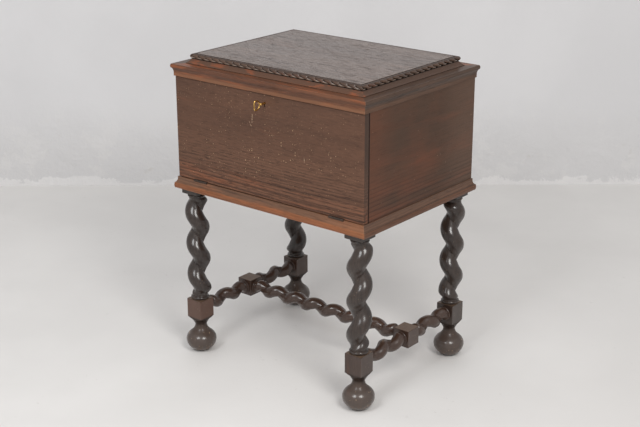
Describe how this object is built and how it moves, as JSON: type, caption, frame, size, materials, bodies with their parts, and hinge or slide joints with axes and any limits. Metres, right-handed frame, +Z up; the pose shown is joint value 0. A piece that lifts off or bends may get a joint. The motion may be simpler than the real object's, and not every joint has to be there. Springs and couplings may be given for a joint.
{
  "type": "fall-front cabinet on stand",
  "caption": "Small oak cabinet with a drop-down front and rope-moulded top, on a stand of barley-twist legs with ball feet joined by twisted stretchers.",
  "frame": {"origin": "on the floor, under the middle of the whole outline, the key included", "axes": "+Z up, -Y towards the drop front with its key, +X to the right of someone facing the front"},
  "size_m": [0.568, 0.463, 0.747],
  "materials": {
    "stand_oak": "dark polished oak, glossy on the turned strands",
    "rope_oak": "dark waxed oak, black in the carved cuts",
    "moulding_oak": "waxed oak with orange wear along the edges",
    "front_oak": "satin brown oak with level grain, specks and scratches",
    "side_oak": "satin red-brown oak with upright flecks",
    "top_oak": "worn oak top with a greyish sheen",
    "inner_oak": "plain oak inside and under the case",
    "key_brass": "worn yellow brass",
    "stay_brass": "dull brass",
    "hinge_iron": "grey worn iron",
    "lock_iron": "blackened iron",
    "nail_iron": "blackened iron"
  },
  "bodies": {
    "cabinet": {"back_panel": "inner_oak", "base_rail_back": "moulding_oak", "base_rail_front": "moulding_oak", "base_rail_left": "moulding_oak", "base_rail_right": "moulding_oak", "bottom_board": "inner_oak", "ceiling_board": "inner_oak", "centre_stretcher": "stand_oak", "cornice_back": "moulding_oak", "cornice_front": "moulding_oak", "cornice_left": "moulding_oak", "cornice_right": "moulding_oak", "foot_back_left": "stand_oak", "foot_back_right": "stand_oak", "foot_front_left": "stand_oak", "foot_front_right": "stand_oak", "hinge_case_leaf_left": "hinge_iron", "hinge_case_leaf_right": "hinge_iron", "hinge_case_nails": "nail_iron", "leg_back_left": "stand_oak", "leg_back_right": "stand_oak", "leg_front_left": "stand_oak", "leg_front_right": "stand_oak", "rope_moulding_back": "rope_oak", "rope_moulding_front": "rope_oak", "rope_moulding_left": "rope_oak", "rope_moulding_right": "rope_oak", "side_panel_left": "side_oak", "side_panel_right": "side_oak", "side_stretcher_left": "stand_oak", "side_stretcher_right": "stand_oak", "stay_case_nails": "nail_iron", "stay_case_plate_left": "stay_brass", "stay_case_plate_right": "stay_brass", "strike_nails": "nail_iron", "strike_plate": "lock_iron", "top_panel": "top_oak"},
    "flap": {"fall_front": "front_oak", "hinge_flap_leaf_left": "hinge_iron", "hinge_flap_leaf_right": "hinge_iron", "hinge_flap_nails": "nail_iron", "lock_case": "lock_iron", "lock_cover": "lock_iron", "lock_nails": "nail_iron", "stay_flap_lug_left": "stay_brass", "stay_flap_lug_right": "stay_brass", "stay_flap_nails": "nail_iron"},
    "key": {"key": "key_brass"},
    "bolt": {"lock_bolt": "lock_iron"},
    "left_rod": {"stay_rod_left": "stay_brass"},
    "right_rod": {"stay_rod_right": "stay_brass"},
    "left_swivel": {"stay_swivel_left": "stay_brass"},
    "right_swivel": {"stay_swivel_right": "stay_brass"}
  },
  "joints": [
    {"name": "flap_fall", "type": "hinge", "parent": "cabinet", "child": "flap", "pos_m": [0, -0.1975, 0.453], "axis": [1, 0, 0], "range_deg": [0, 90]},
    {"name": "key_turn", "type": "hinge", "parent": "flap", "child": "key", "pos_m": [0, -0.1955, 0.6751], "axis": [0, 1, 0], "range_deg": [0, 360]},
    {"name": "bolt_slide", "type": "slide", "parent": "flap", "child": "bolt", "axis": [0, 0, 1], "range_m": [0, 0.008]},
    {"name": "left_rod_turn", "type": "hinge", "parent": "flap", "child": "left_rod", "pos_m": [-0.25, -0.1715, 0.60073], "axis": [1, 0, 0], "range_deg": [-45, 0]},
    {"name": "right_rod_turn", "type": "hinge", "parent": "flap", "child": "right_rod", "pos_m": [0.25, -0.1715, 0.60073], "axis": [1, 0, 0], "range_deg": [-45, 0]},
    {"name": "left_swivel_turn", "type": "hinge", "parent": "cabinet", "child": "left_swivel", "pos_m": [-0.25, -0.14131, 0.59208], "axis": [1, 0, 0], "range_deg": [0, 45]},
    {"name": "right_swivel_turn", "type": "hinge", "parent": "cabinet", "child": "right_swivel", "pos_m": [0.25, -0.14131, 0.59208], "axis": [1, 0, 0], "range_deg": [0, 45]}
  ],
  "couplings": [
    {"joint": "key_turn", "follows": "bolt_slide", "rad_per_m": 785.4},
    {"joint": "left_rod_turn", "follows": "flap_fall", "ratio": -0.5},
    {"joint": "right_rod_turn", "follows": "flap_fall", "ratio": -0.5},
    {"joint": "left_swivel_turn", "follows": "flap_fall", "ratio": 0.5},
    {"joint": "right_swivel_turn", "follows": "flap_fall", "ratio": 0.5}
  ]
}
